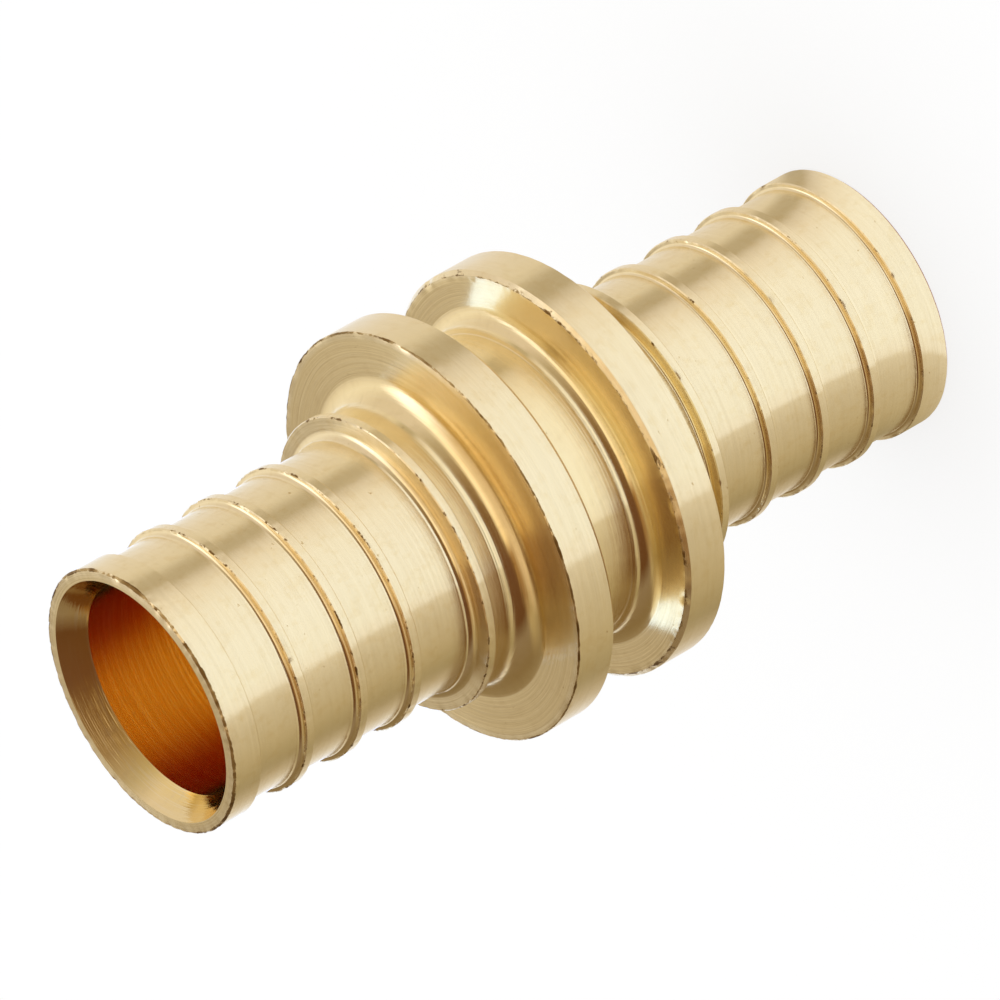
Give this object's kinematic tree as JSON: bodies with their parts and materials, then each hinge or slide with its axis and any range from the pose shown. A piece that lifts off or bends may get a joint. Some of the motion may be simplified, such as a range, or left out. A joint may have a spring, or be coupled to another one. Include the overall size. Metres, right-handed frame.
{
  "type": "pipe coupling",
  "caption": "Straight one-piece pipe coupling with ribbed spigots at both ends, paired middle flanges for a pressing tool, and a through bore.",
  "frame": {"origin": "centre of the body, on the bore's axis and on the middle plane between the two flanges", "axes": "+Z along the bore, towards the upper spigot; X and Y across the bore and alike, because the part is round"},
  "size_m": [0.039, 0.039, 0.081],
  "materials": {
    "brass": "fine-turned pale yellow brass, semi-gloss, unplated"
  },
  "bodies": {
    "root": {"coupling_body": "brass"}
  },
  "joints": []
}
